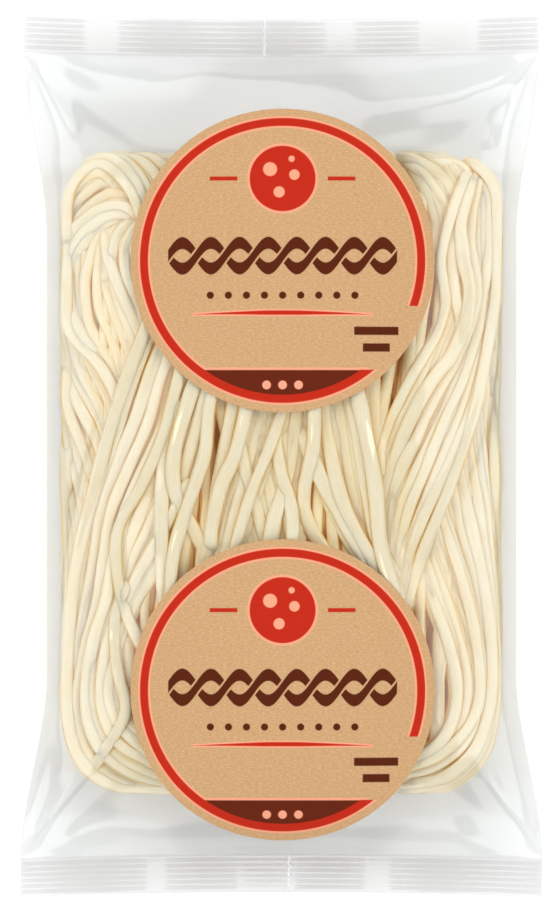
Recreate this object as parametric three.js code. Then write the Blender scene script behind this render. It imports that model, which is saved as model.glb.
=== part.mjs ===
// A 300 g pillow pack of string cheese: long cheese threads under clear film, lying on its back, with two round paper
// labels stuck on top. Millimetres, +Z up, +Y towards the pack's head end. The origin is on the surface that it lies on.
import * as THREE from "three";

// ---- Driving dimensions ----
const PACK_LENGTH = 260; // over both sealed ends
const PACK_HEIGHT = 30; // from the flat underside to the crown
const HEAD_WIDTH = 151.5; // lay-flat width of the film at the head seal
const FOOT_WIDTH = 153.5; // and at the foot seal
const WAIST_WIDTH = 138; // where the threads fill the tube
const FLARE_START = 64; // distance from the middle at which the sides begin to flare towards the seals

const SEAL_STRIP = 11.5; // depth of the crimped strip at each end
const SEAL_HEIGHT = 8; // the seals' mid-plane above the underside
const SEAL_THICKNESS = 0.6;
const SEAL_BOW = 1.7; // how far the middle of a seal is drawn in by the bulge
const CRIMP_RIBS = 5; // ribs pressed across each seal strip
const CRIMP_DEPTH = 0.45; // height of a rib above or below the mid-plane

const THREADS_ACROSS = 38; // threads side by side under the film
const THREADS_SHARE = 0.93; // of the half width, the part that the threads fill
const THREADS_REACH = 92; // the threads end this far from the middle
const THREAD_RELIEF = 1.35; // depth of the groove between two threads
const RELIEF_FADE = 12; // the grooves fade out over this last stretch of the threads
const THREAD_SWAY = 8; // how far a thread wanders to each side on its way along the pack
const HANK_DIVIDE = 1.2; // how sharply the left hank's sway gives way to the right hank's

const LABEL_DIAMETER = 87.8;
const LABEL_THICKNESS = 0.35;
const LABEL_GAP = 0.4; // between the paper and the film's highest line
const LABEL_X = 0.3;
const HEAD_LABEL_Y = 56.3; // the labels' centres along the pack
const FOOT_LABEL_Y = -68;

// ---- Shape of the crown: how square the pack looks along and across ----
const SIDE_SQUARENESS = 2.8;
const SIDE_ROUNDNESS = 1.7;
const END_SQUARENESS = 6;
const END_ROUNDNESS = 1.35;
const UNDERSIDE_FLAT_X = 0.8; // share of the half width that lies flat on the surface below
const UNDERSIDE_FLAT_Y = 95; // the underside is flat up to this distance from the middle
const UNDERSIDE_CURVE = 1.5; // above 1, the underside leaves the surface gently and steepens towards the rim

// ---- Mesh density ----
const BODY_ROW_STEP = 6;
const END_ROWS = 8;
const END_CROWDING = 1.6; // above 1, rows lie closer together at the seal, where the film is steep
const SEAL_COLUMNS = 14;
const PLAIN_COLUMNS_INSIDE = 20; // across the film beyond the threads
const FLAT_COLUMNS = 4; // across the flat of the underside
const TOP_RIM = [0.96, 0.985, 1]; // shares of the half width with a column of points near the pack's side
const PLAIN_RIM = [0.975, 1];
const UNDERSIDE_RIM = [0.87, 0.93, 0.97, 1];
const LABEL_RINGS = 8;
const LABEL_SECTORS = 44;

const HALF_LENGTH = PACK_LENGTH / 2;
const SEAL_LINE = HALF_LENGTH - SEAL_STRIP; // where film meets film
const clamp01 = (t) => Math.min(1, Math.max(0, t));
const smoothStep = (t) => clamp01(t) ** 2 * (3 - 2 * clamp01(t));

// Half the pack's width at v, the distance along the pack's side edge from its middle.
function halfWidth(v) {
  const sealWidth = v > 0 ? HEAD_WIDTH : FOOT_WIDTH;
  const flare = smoothStep((Math.abs(v) - FLARE_START) / (SEAL_LINE - FLARE_START));
  return (WAIST_WIDTH + (sealWidth - WAIST_WIDTH) * flare) / 2;
}

// The bulge draws the middle of each row in towards the pack's middle, by an amount that grows towards the seals.
function rowY(v, u) {
  return v - Math.sign(v) * SEAL_BOW * (v / HALF_LENGTH) ** 2 * (1 - u * u);
}

// 1 over the middle of the pack, falling to 0 along its side edges and seal lines. u is -1 to 1 across the pack.
function bulge(u, v) {
  const across = (1 - Math.abs(u) ** SIDE_SQUARENESS) ** (1 / SIDE_ROUNDNESS);
  const along = (1 - clamp01(Math.abs(v) / SEAL_LINE) ** END_SQUARENESS) ** (1 / END_ROUNDNESS);
  return across * along;
}

// Height of the smooth film over the threads, without their relief.
function crownHeight(u, v) {
  const lowest = SEAL_HEIGHT + SEAL_THICKNESS / 2;
  return lowest + (PACK_HEIGHT - lowest) * bulge(u, v);
}

function undersideHeight(u, v) {
  const lift = Math.max(
    (Math.abs(u) - UNDERSIDE_FLAT_X) / (1 - UNDERSIDE_FLAT_X),
    (Math.abs(v) - UNDERSIDE_FLAT_Y) / (SEAL_LINE - UNDERSIDE_FLAT_Y),
  );
  return (SEAL_HEIGHT - SEAL_THICKNESS / 2) * clamp01(lift) ** UNDERSIDE_CURVE;
}

// How strongly the threads show through the film: fully over the heap, fading where the film leaves it.
function reliefShare(u, v) {
  const sides = smoothStep((1 - Math.abs(u)) / (1 - THREADS_SHARE) - 0.5);
  const ends = smoothStep((THREADS_REACH - Math.abs(v)) / RELIEF_FADE);
  return sides * ends;
}

// Where column u of the heap lies at v. The left hank leans over from under the head label to the pack's left side, and
// the right hank is drawn in towards the middle of the pack and out again.
function swayed(u, v) {
  const turn = (Math.PI * v) / THREADS_REACH;
  const share = smoothStep(0.5 + HANK_DIVIDE * u); // 0 in the left hank, 1 in the right
  const lean = (1 - share) * Math.sin(turn) - share * Math.cos(turn);
  return u + (THREAD_SWAY / (WAIST_WIDTH / 2)) * lean * (1 - u * u);
}

const evenly = (from, to, steps) => Array.from({ length: steps + 1 }, (_, i) => from + ((to - from) * i) / steps);

// Columns over the heap alternate between a thread's back and the groove beside it, with plain film at each side.
const withRims = (share, steps, rim) => [...rim.map((u) => -u).reverse(), ...evenly(-share, share, steps), ...rim];
const TOP_COLUMNS = withRims(THREADS_SHARE, 2 * THREADS_ACROSS, TOP_RIM);
const FIRST_GROOVE = TOP_RIM.length; // the column at the heap's left side
const PLAIN_COLUMNS = withRims(THREADS_SHARE, PLAIN_COLUMNS_INSIDE, PLAIN_RIM);
const UNDERSIDE_COLUMNS = withRims(UNDERSIDE_FLAT_X, FLAT_COLUMNS, UNDERSIDE_RIM);
const STRIP_COLUMNS = evenly(-1, 1, SEAL_COLUMNS);

// ---- The pack: rows of points over the top and the underside, zipped into one closed surface ----
class ClosedRows {
  constructor() {
    this.positions = [];
    this.triangles = [];
  }

  point(x, y, z, u) {
    this.positions.push(x, y, z);
    return { index: this.positions.length / 3 - 1, u };
  }

  triangle(a, b, c, turned) {
    if (a === b || b === c || a === c) return;
    this.triangles.push(a, ...(turned ? [c, b] : [b, c]));
  }

  // Joins two rows of points that run the same way, whatever their numbers of points.
  zip(near, far, turned = false) {
    let i = 0;
    let j = 0;
    while (i < near.length - 1 || j < far.length - 1) {
      const stepNear = j === far.length - 1 || (i < near.length - 1 && near[i + 1].u <= far[j + 1].u);
      if (stepNear) {
        this.triangle(near[i].index, near[i + 1].index, far[j].index, turned);
        i += 1;
      } else {
        this.triangle(near[i].index, far[j + 1].index, far[j].index, turned);
        j += 1;
      }
    }
  }

  geometry() {
    const made = new THREE.BufferGeometry();
    made.setAttribute("position", new THREE.Float32BufferAttribute(this.positions, 3));
    made.setIndex(this.triangles);
    return made;
  }
}

// One cross-section of the pack. topHeight and bottomHeight are functions of u and the column's number.
function crossSection(rows, v, topColumns, bottomColumns, topHeight, bottomHeight, shift = (u) => u) {
  const edge = (u) => rows.point(u * halfWidth(v), rowY(v, u), (topHeight(u, -1) + bottomHeight(u)) / 2, u);
  const left = edge(-1);
  const right = edge(1);
  const inside = (columns, height, moved) =>
    columns.slice(1, -1).map((u, k) => {
      const across = moved(u);
      return rows.point(across * halfWidth(v), rowY(v, across), height(across, k + 1), u);
    });
  return {
    top: [left, ...inside(topColumns, topHeight, shift), right],
    bottom: [left, ...inside(bottomColumns, bottomHeight, (u) => u), right],
  };
}

function sealSection(rows, v, rib) {
  const middle = SEAL_HEIGHT + rib * CRIMP_DEPTH;
  return crossSection(
    rows,
    v,
    STRIP_COLUMNS,
    STRIP_COLUMNS,
    () => middle + SEAL_THICKNESS / 2,
    () => middle - SEAL_THICKNESS / 2,
  );
}

function endSection(rows, v) {
  return crossSection(
    rows,
    v,
    PLAIN_COLUMNS,
    UNDERSIDE_COLUMNS,
    (u) => crownHeight(u, v),
    (u) => undersideHeight(u, v),
  );
}

function heapSection(rows, v) {
  const grooveDepth = (u, k) => ((k - FIRST_GROOVE) % 2 === 0 ? THREAD_RELIEF * reliefShare(u, v) : 0);
  return crossSection(
    rows,
    v,
    TOP_COLUMNS,
    UNDERSIDE_COLUMNS,
    (u, k) => crownHeight(u, v) - grooveDepth(u, k),
    (u) => undersideHeight(u, v),
    (u) => swayed(u, v),
  );
}

// Row places from the middle of the crimped strip's outer edge to the foot of the bulge, for one end of the pack.
function endOfPack(rows, sign) {
  const steps = 2 * CRIMP_RIBS;
  const strip = evenly(HALF_LENGTH, SEAL_LINE, steps).map((v, i) =>
    sealSection(rows, sign * v, i === 0 || i === steps ? 0 : i % 2 ? 1 : -1),
  );
  const slope = Array.from({ length: END_ROWS }, (_, i) => {
    const share = ((i + 1) / END_ROWS) ** END_CROWDING;
    return endSection(rows, sign * (SEAL_LINE + (THREADS_REACH - SEAL_LINE) * share));
  });
  return [...strip, ...slope];
}

function packGeometry() {
  const rows = new ClosedRows();
  const bodyEnd = THREADS_REACH - BODY_ROW_STEP;
  const bodySteps = Math.round((2 * bodyEnd) / BODY_ROW_STEP);
  const sections = [
    ...endOfPack(rows, -1),
    ...evenly(-bodyEnd, bodyEnd, bodySteps).map((v) => heapSection(rows, v)),
    ...endOfPack(rows, 1).reverse(),
  ];
  for (let i = 1; i < sections.length; i += 1) {
    rows.zip(sections[i - 1].top, sections[i].top);
    rows.zip(sections[i - 1].bottom, sections[i].bottom, true);
  }
  const foot = sections[0];
  const head = sections[sections.length - 1];
  rows.zip(foot.bottom, foot.top);
  rows.zip(head.bottom, head.top, true);
  return rows.geometry();
}

// ---- A label: a thin paper disc that follows the film ----
function labelGeometry(centreY) {
  const positions = [];
  const triangles = [];
  const filmAt = (x, y) => crownHeight(x / halfWidth(y), y);
  const addSheet = (lift) => {
    const first = positions.length / 3;
    positions.push(LABEL_X, centreY, filmAt(LABEL_X, centreY) + lift);
    for (let ring = 1; ring <= LABEL_RINGS; ring += 1) {
      const radius = ((LABEL_DIAMETER / 2) * ring) / LABEL_RINGS;
      for (let sector = 0; sector < LABEL_SECTORS; sector += 1) {
        const angle = (2 * Math.PI * sector) / LABEL_SECTORS;
        const x = LABEL_X + radius * Math.cos(angle);
        const y = centreY + radius * Math.sin(angle);
        positions.push(x, y, filmAt(x, y) + lift);
      }
    }
    return (ring, sector) => (ring ? first + 1 + (ring - 1) * LABEL_SECTORS + (sector % LABEL_SECTORS) : first);
  };
  const under = addSheet(LABEL_GAP);
  const over = addSheet(LABEL_GAP + LABEL_THICKNESS);
  for (let sector = 0; sector < LABEL_SECTORS; sector += 1) {
    const next = sector + 1;
    triangles.push(over(0, 0), over(1, sector), over(1, next));
    triangles.push(under(0, 0), under(1, next), under(1, sector));
    for (let ring = 1; ring < LABEL_RINGS; ring += 1) {
      const outer = ring + 1;
      triangles.push(over(ring, sector), over(outer, sector), over(outer, next));
      triangles.push(over(ring, sector), over(outer, next), over(ring, next));
      triangles.push(under(ring, sector), under(outer, next), under(outer, sector));
      triangles.push(under(ring, sector), under(ring, next), under(outer, next));
    }
    triangles.push(under(LABEL_RINGS, sector), under(LABEL_RINGS, next), over(LABEL_RINGS, next));
    triangles.push(under(LABEL_RINGS, sector), over(LABEL_RINGS, next), over(LABEL_RINGS, sector));
  }
  const made = new THREE.BufferGeometry();
  made.setAttribute("position", new THREE.Float32BufferAttribute(positions, 3));
  made.setIndex(triangles);
  return made;
}

// ---- Materials and assembly ----
const threadsUnderFilm = new THREE.MeshStandardMaterial({ color: "#efdfc0", roughness: 0.35, metalness: 0 });
const kraftPaper = new THREE.MeshStandardMaterial({ color: "#d6ab7c", roughness: 0.85, metalness: 0 });

function mesh(name, geometry, material) {
  geometry.computeVertexNormals();
  const made = new THREE.Mesh(geometry, material);
  made.name = name;
  return made;
}

const stringCheesePack = new THREE.Group();
stringCheesePack.add(
  mesh("thread_pack", packGeometry(), threadsUnderFilm),
  mesh("label_head", labelGeometry(HEAD_LABEL_Y), kraftPaper),
  mesh("label_foot", labelGeometry(FOOT_LABEL_Y), kraftPaper),
);

export default stringCheesePack;
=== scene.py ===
import math
from dataclasses import dataclass

import bpy
import numpy as np
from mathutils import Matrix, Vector


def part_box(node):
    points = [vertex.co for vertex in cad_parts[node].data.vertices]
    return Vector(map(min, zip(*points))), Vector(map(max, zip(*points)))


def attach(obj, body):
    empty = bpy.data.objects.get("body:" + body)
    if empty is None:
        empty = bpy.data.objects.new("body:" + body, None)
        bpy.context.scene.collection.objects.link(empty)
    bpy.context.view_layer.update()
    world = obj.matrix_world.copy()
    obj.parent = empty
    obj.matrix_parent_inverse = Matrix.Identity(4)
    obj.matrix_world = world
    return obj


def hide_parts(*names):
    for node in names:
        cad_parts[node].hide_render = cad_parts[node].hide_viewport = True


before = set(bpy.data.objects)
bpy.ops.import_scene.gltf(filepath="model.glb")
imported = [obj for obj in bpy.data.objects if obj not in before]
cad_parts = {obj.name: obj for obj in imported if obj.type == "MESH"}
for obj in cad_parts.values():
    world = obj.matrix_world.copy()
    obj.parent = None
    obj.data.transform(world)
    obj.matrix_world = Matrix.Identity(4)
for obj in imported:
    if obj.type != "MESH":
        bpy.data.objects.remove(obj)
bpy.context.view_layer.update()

# A pillow pack of string cheese threads.
# Sizes are in millimetres until a mesh is made, and in metres from then on.
MM = 0.001
RNG = np.random.default_rng(300)

# ---- The pack's form, the same as the solid's ----
HALF_LENGTH, PACK_HEIGHT = np.array(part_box("thread_pack")[1][1:]) / MM
HEAD_WIDTH = 151.5
FOOT_WIDTH = 153.5
WAIST_WIDTH = 138.0
FLARE_START = 64.0  # from here to each seal, the pack widens
SEAL_STRIP = 11.5  # depth of each end seal
SEAL_HEIGHT = 8.0  # of the seals above the table
SEAL_THICKNESS = 0.6
SEAL_BOW = 1.7  # how far the bulge draws the middle of a seal inwards
SEAL_LINE = HALF_LENGTH - SEAL_STRIP
# Exponents of the bulge's section, and what is flat underneath.
SIDE_SQUARENESS = 2.8
SIDE_ROUNDNESS = 1.7
END_SQUARENESS = 6.0
END_ROUNDNESS = 1.35
UNDERSIDE_FLAT_X = 0.8
UNDERSIDE_FLAT_Y = 95.0
UNDERSIDE_CURVE = 1.5

# ---- The heap of threads inside ----
THREAD_WIDTH = 3.5
THREAD_FLATNESS = 0.68  # a thread's thickness as a share of its width
THREAD_THICKNESS = THREAD_WIDTH * THREAD_FLATNESS
HEAP_HALF_WIDTH = 64.0
HEAP_HEAD = 88.0  # the heap's ends along the pack
HEAP_FOOT = -98.0
HEAP_MIDDLE = (HEAP_HEAD + HEAP_FOOT) / 2.0
HEAP_HALF_LENGTH = (HEAP_HEAD - HEAP_FOOT) / 2.0
HEAP_CORNER = 23.0  # radius of the heap's corners, seen from above
HEAP_ROUNDING = 12.0  # how far in from an end its top begins to fall
HEAP_DROP = 9.0  # and how far it falls
FILM_CLEARANCE = 0.5  # between the highest threads and the film's smooth form
FLOOR_CLEARANCE = 0.5  # between the lowest threads and the film below them
PILE_DEPTH = 9.0  # the first threads are laid this far below the heap's top
SINKING = 1.0  # how far a soft thread sinks onto the ones below it
PILE_OVER = 0.2  # the pile may rise this far over the height meant for its top
PRESSED = 0.5  # threads within this distance of the film are pressed together by it
PILE_KEPT = 4.5  # the pressed pile is no deeper than this
END_DIVE = 4.5  # every thread's end goes down among the others, this far
END_DIVE_LENGTH = 6.5  # over this much of its length
END_RUN = 5.0  # a thread's route is carried on this far at both ends before it dives
LOOP_OVERLAP = 5  # points by which a loop's ends lie one on the other
WALL_DEPTH = 7.0  # the loops round the heap stay this far below its top
WALL_FOOT, WALL_HEAD = 4.2, 20.0  # the loops lie between these heights
LOOP_UNDER_FILM = 1.2  # a loop's least distance from the film above
LOOP_OVER_FILM = 0.4  # and from the film below
LOOP_INSET = 1.6  # and from the heap's outline
WALL_PITCH = 0.9  # the loops' spacing as a share of a thread's thickness and width
FLOOR_HEIGHT = 0.35  # of the lowest threads' undersides
FLOOR_PITCH = 1.02  # the floor's loops lie this share of a thread's width apart
GAP_REACH = 7  # gaps up to twice this many map cells wide count as closed
SHARPEST_CORNER = 14.0  # threads may fill the heap's corners out to this radius
OUTERMOST = 1.3  # the outermost threads' middles keep this far inside the heap's outline


def smooth_step(t):
    t = np.clip(t, 0.0, 1.0)
    return t * t * (3.0 - 2.0 * t)


def half_width(y):
    """Half the pack's width at a distance y along it."""
    seal_width = np.where(np.asarray(y) > 0.0, HEAD_WIDTH, FOOT_WIDTH)
    flare = smooth_step((np.abs(y) - FLARE_START) / (SEAL_LINE - FLARE_START))
    return (WAIST_WIDTH + (seal_width - WAIST_WIDTH) * flare) / 2.0


def row_y(v, u):
    """The bulge draws the middle of a row in towards the pack's middle."""
    return v - np.sign(v) * SEAL_BOW * (v / HALF_LENGTH) ** 2 * (1.0 - u * u)


def crown(x, y):
    """Height of the film over the heap, smooth and without creases."""
    u = np.clip(np.abs(x) / half_width(y), 0.0, 1.0)
    v = np.clip(np.abs(y) / SEAL_LINE, 0.0, 1.0)
    across = (1.0 - u**SIDE_SQUARENESS) ** (1.0 / SIDE_ROUNDNESS)
    along = (1.0 - v**END_SQUARENESS) ** (1.0 / END_ROUNDNESS)
    lowest = SEAL_HEIGHT + SEAL_THICKNESS / 2.0
    return lowest + (PACK_HEIGHT - lowest) * across * along


def underside(x, y):
    """Height of the film below: flat in the middle, and rising to the seals and the rim."""
    u = np.abs(x) / half_width(y)
    lift = np.maximum(
        (u - UNDERSIDE_FLAT_X) / (1.0 - UNDERSIDE_FLAT_X),
        (np.abs(y) - UNDERSIDE_FLAT_Y) / (SEAL_LINE - UNDERSIDE_FLAT_Y),
    )
    return (SEAL_HEIGHT - SEAL_THICKNESS / 2.0) * np.clip(lift, 0.0, 1.0) ** UNDERSIDE_CURVE


def heap_top(x, y):
    """Height that the highest threads reach: just under the film, and rounded off at the heap's ends."""
    inward = np.minimum(HEAP_HEAD - y, y - HEAP_FOOT)
    over = np.clip((HEAP_ROUNDING - inward) / HEAP_ROUNDING, 0.0, 1.0)
    steepest = 0.96  # just under 1, where the fall would end upright
    return crown(x, y) - FILM_CLEARANCE - HEAP_DROP * (1.0 - np.sqrt(1.0 - over * over * steepest))


def outline_distance(x, y):
    """Distance inwards from the heap's outline, a rectangle with round corners."""
    dx = np.abs(x) - (HEAP_HALF_WIDTH - HEAP_CORNER)
    dy = np.abs(y - HEAP_MIDDLE) - (HEAP_HALF_LENGTH - HEAP_CORNER)
    outside = np.hypot(np.maximum(dx, 0.0), np.maximum(dy, 0.0)) + np.minimum(np.maximum(dx, dy), 0.0)
    return HEAP_CORNER - outside


# ---- Maps of height over the pack's plan ----
CELL = 0.5  # size of a map's cells
MAP_X = np.arange(-78.0, 78.0 + CELL, CELL)
MAP_Y = np.arange(-132.0, 132.0 + CELL, CELL)
PLAN_X, PLAN_Y = np.meshgrid(MAP_X, MAP_Y)


def map_cells(x, y):
    """The row and column of the cell at each point."""
    columns = np.clip(np.rint((x - MAP_X[0]) / CELL).astype(int), 0, len(MAP_X) - 1)
    rows = np.clip(np.rint((y - MAP_Y[0]) / CELL).astype(int), 0, len(MAP_Y) - 1)
    return rows, columns


def read_map(heights, x, y):
    """Reads a map between its cells."""
    fx = np.clip((np.asarray(x) - MAP_X[0]) / CELL, 0.0, len(MAP_X) - 1.001)
    fy = np.clip((np.asarray(y) - MAP_Y[0]) / CELL, 0.0, len(MAP_Y) - 1.001)
    ix, iy = fx.astype(int), fy.astype(int)
    tx, ty = fx - ix, fy - iy
    low = heights[iy, ix] * (1 - tx) + heights[iy, ix + 1] * tx
    high = heights[iy + 1, ix] * (1 - tx) + heights[iy + 1, ix + 1] * tx
    return low * (1 - ty) + high * ty


def blur_line(values, sigma):
    """A Gaussian blur. sigma is in samples."""
    reach = max(1, int(3 * sigma))
    weights = np.exp(-0.5 * (np.arange(-reach, reach + 1) / sigma) ** 2)
    return np.convolve(np.pad(values, reach, mode="edge"), weights / weights.sum(), mode="valid")


def blur_map(heights, sigma_mm):
    for _ in range(2):
        heights = np.array([blur_line(row, sigma_mm / CELL) for row in heights]).T
    return heights


def widest(values, reach, axis=0):
    """The largest value within reach samples on either side."""
    grown = values.copy()
    for step in range(1, reach + 1):
        grown = np.maximum(grown, np.maximum(np.roll(values, -step, axis), np.roll(values, step, axis)))
    return grown


def widest_round(heights, reach):
    """The largest value of a map within reach cells each way."""
    return widest(widest(heights, reach, 0), reach, 1)


# ---- Threads: routes in plan, then heights by laying one on another ----
STEP = 1.5  # spacing of a thread's rings along it
ACROSS = np.linspace(-1.0, 1.0, 9)  # places across a thread where it is felt or seen
BELLY_SHARE = 0.8  # the part of its width that rests on the threads below
BACK_SHARE = 0.95  # and the part that carries those above
STIFFNESS = 6.0  # points over which a thread's bends in height are eased
DRIFT_WAVES = ((0.75, 1.0), (0.25, 0.47), (0.05, 0.2))  # share and relative length of a drift's waves
WIDTH_SPREAD = 0.09
THICKNESS_SPREAD = 0.05
TINT_SPREAD = 0.22
LAYER_WIDTH = 1.1  # a layer's threads spread over this share of the heap's width
LAYER_INSET = 5.0  # and stay this far inside its outline
LEAN_SPREAD = 2.0
FEWEST_POINTS = 12  # shorter threads are only stubs at the heap's corners


def curve(points):
    """A smooth curve through given points, sampled every half STEP or so."""
    p = np.array(points, float)
    p = np.vstack([2 * p[0] - p[1], p, 2 * p[-1] - p[-2]])
    pieces = []
    for a, b, c, d in zip(p[:-3], p[1:-2], p[2:-1], p[3:]):
        t = np.linspace(0.0, 1.0, max(3, int(2 * np.hypot(*(c - b)) / STEP)), endpoint=False)[:, None]
        bend = 2 * a - 5 * b + 4 * c - d
        turn = 3 * b - 3 * c + d - a
        pieces.append(b + 0.5 * t * (c - a + t * (bend + t * turn)))
    return np.vstack(pieces + [p[-2:-1]])


def respaced(line, count=None):
    """The same line with evenly spaced points."""
    run = np.concatenate([[0.0], np.cumsum(np.hypot(*np.diff(line, axis=0).T))])
    count = count or max(4, int(round(run[-1] / STEP)) + 1)
    even = np.linspace(0.0, run[-1], count)
    return np.column_stack([np.interp(even, run, line[:, k]) for k in range(2)])


def run_on(line):
    """The line carried on straight at both ends, for the part of a thread that dives out of sight."""
    first, last = line[0] - line[2], line[-1] - line[-3]
    first *= END_RUN / np.hypot(*first)
    last *= END_RUN / np.hypot(*last)
    return np.vstack([line[:1] + first, line, line[-1:] + last])


def sideways(line):
    """Unit vectors to the right of a line in plan."""
    ahead = np.gradient(line, axis=0)
    ahead /= np.maximum(np.hypot(*ahead.T), 1e-6)[:, None]
    return np.column_stack([ahead[:, 1], -ahead[:, 0]])


def wandering(count, amount, wavelength=110.0):
    """A slow random drift to either side, for a line of count points."""
    run = np.arange(count) * STEP
    drift = np.zeros(count)
    for share, length in DRIFT_WAVES:
        drift += share * np.sin(2 * np.pi * (run / (wavelength * length) + RNG.random()))
    return amount * drift


@dataclass
class Thread:
    line: np.ndarray  # points in plan
    height: np.ndarray = None  # of the thread's middle, at each point
    width: float = THREAD_WIDTH
    thickness: float = THREAD_THICKNESS
    buried: float = None  # how deep it counts as lying, for the painted depth shade; worked out from its height if left out
    tint: float = 0.5
    sides: int = 10
    open_side: str = "top"  # the side of it that can be seen, which is left free of the painted flank shade: "top", "side" or "bottom"

    def keep_off_floor(self):
        """Lifts the thread wherever it would pass through the film below."""
        x, y = self.line.T
        self.height = np.maximum(self.height, underside(x, y) + FLOOR_CLEARANCE + self.thickness / 2.0)


def new_thread(line, wander=0.7, width=THREAD_WIDTH, **facts):
    line = respaced(np.asarray(line, float))
    line = line + sideways(line) * wandering(len(line), wander)[:, None]
    width *= RNG.normal(1.0, WIDTH_SPREAD)
    return Thread(
        respaced(kept_in(line)),
        width=width,
        thickness=width * THREAD_FLATNESS * RNG.normal(1.0, THICKNESS_SPREAD),
        tint=float(np.clip(RNG.normal(0.5, TINT_SPREAD), 0.0, 1.0)),
        **facts,
    )


def kept_in(line):
    """The line moved in wherever it comes too near the heap's outline."""
    middle = np.array([0.0, HEAP_MIDDLE])
    half_size = np.array([HEAP_HALF_WIDTH, HEAP_HALF_LENGTH])
    core = middle + np.clip(line - middle, SHARPEST_CORNER - half_size, half_size - SHARPEST_CORNER)
    out = line - core
    scale = (SHARPEST_CORNER - OUTERMOST) / np.maximum(np.hypot(*out.T), 1e-6)
    return core + out * np.minimum(scale, 1.0)[:, None]


def raise_map(heights, thread, finer):
    """Raises a map to a thread's back, felt at that many places for each of its points."""
    at = range(len(thread.height))
    fine = np.linspace(0, len(at) - 1, finer * len(at))
    x, y, z = (np.interp(fine, at, values) for values in (*thread.line.T, thread.height))
    right = sideways(np.column_stack([x, y]))
    half, tall = thread.width / 2.0, thread.thickness / 2.0
    rows, columns = map_cells(
        x[:, None] + right[:, 0, None] * half * ACROSS,
        y[:, None] + right[:, 1, None] * half * ACROSS,
    )
    np.maximum.at(heights, (rows, columns), z[:, None] + tall * np.sqrt(1.0 - (BACK_SHARE * ACROSS) ** 2))


def lay(threads, ground):
    """Drops threads in their order on the ground, a map that rises under each, and gives each its height."""
    for thread in threads:
        side = sideways(thread.line)
        belly = thread.thickness / 2.0 * np.sqrt(1.0 - (BELLY_SHARE * ACROSS) ** 2)
        offsets = BELLY_SHARE * (thread.width / 2.0) * ACROSS
        spots = thread.line[:, None, :] + side[:, None, :] * offsets[None, :, None]
        rest = (ground[map_cells(spots[..., 0], spots[..., 1])] + belly).max(axis=1)
        thread.height = blur_line(widest(rest, 2), STIFFNESS) - SINKING
        raise_map(ground, thread, 3)


def family(guides, count, wander=0.28, jitter=0.27, **facts):
    """Threads side by side in the band that two or more guide curves span, laid in nearly random order."""
    samples = 160
    curves = np.array([respaced(curve(guide), samples) for guide in guides])
    places = (np.arange(count) + 0.5 + jitter * RNG.uniform(-1, 1, count)) / count * (len(guides) - 1)
    made = []
    for place in places:
        near = min(int(place), len(guides) - 2)
        share = place - near
        line = curves[near] * (1 - share) + curves[near + 1] * share
        made.append(new_thread(run_on(line), wander, **facts))
    RNG.shuffle(made)
    return made


def trimmed(line, inset):
    """The longest run of a line that stays inside the heap's outline."""
    inside = outline_distance(line[:, 0], line[:, 1]) > inset
    ends = np.flatnonzero(np.diff(np.concatenate([[False], inside, [False]])))
    start, stop = max(zip(ends[::2], ends[1::2]), key=lambda run: run[1] - run[0], default=(0, 0))
    return line[start:stop]


def under_layer(count, lean):
    """One layer of threads from end to end of the heap, all leaning by about as much."""
    made = []
    for i in RNG.permutation(count):
        x = HEAP_HALF_WIDTH * LAYER_WIDTH * (2 * (i + 0.5) / count - 1)
        swing = lean + RNG.normal(0, LEAN_SPREAD)
        line = curve([(x + swing, HEAP_HEAD), (x - swing * 0.3, 0), (x - swing, HEAP_FOOT)])
        line = trimmed(respaced(line), LAYER_INSET)
        if len(line) > FEWEST_POINTS:
            made.append(new_thread(line, wander=1.6, sides=8))
    return made


# Routes are (x, y) points seen from above, one for each turn that a thread takes.
# A family's guides run side by side, and its other threads lie between them.
LEFT_ARCS = (
    ((-33, 77), (-40, 76.5), (-46.5, 77.5), (-51.5, 80.5), (-55.5, 80), (-59, 77), (-61.5, 71.5),
     (-62.5, 63.5), (-62.5, 49), (-62, 34.5), (-59, 24), (-54.5, 14.5), (-50.5, 4.5)),
    ((-31, 69), (-38, 70), (-45, 72), (-50.5, 72), (-55.5, 68.5), (-59, 64), (-61, 57.5), (-61, 48.5),
     (-59, 40), (-55, 31), (-50.5, 22.5), (-46, 12.5)),
    ((-29, 63), (-36.5, 66), (-42, 68.5), (-48.5, 68.5), (-53, 65), (-57, 60), (-58.5, 53), (-58, 44),
     (-54.5, 34.5), (-50.5, 27), (-47, 19)),
)
LEFT_CROWN = (
    ((-60, 45), (-62, 55), (-62.5, 65.5), (-61, 75.5), (-56.5, 83), (-51, 83.5), (-45.5, 80), (-41.5, 73),
     (-39, 66.5)),
    ((-61, 52), (-62.5, 64), (-60, 77.5), (-54, 85), (-46.5, 87.5), (-40, 85.5), (-35, 81), (-31.5, 76)),
)
LEFT_INNER = (
    ((-40, 70.5), (-47, 68.5), (-51.5, 62), (-53, 55), (-52, 47.5), (-49, 38.5), (-45.5, 30), (-41.5, 20.5)),
    ((-34, 73), (-41, 69.5), (-45.5, 62), (-46, 55), (-44, 47.5), (-41, 39.5), (-37.5, 32)),
    ((-30, 71), (-36.5, 67), (-41.5, 61.5), (-42.5, 54), (-40.5, 46), (-37, 38.5), (-33.5, 32)),
)
LEFT_EDGE = (
    ((-62.5, 45), (-62, 33.5), (-58.5, 23.5), (-53, 13.5), (-48, 2.5)),
    ((-62.5, 30.5), (-61, 19), (-57.5, 9), (-53, -1.5), (-51, -7)),
    ((-62.5, 10), (-61.5, 0), (-59, -10), (-57.5, -20)),
    ((-63, 0), (-63, -18), (-62.5, -36), (-62.5, -56)),
)
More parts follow.
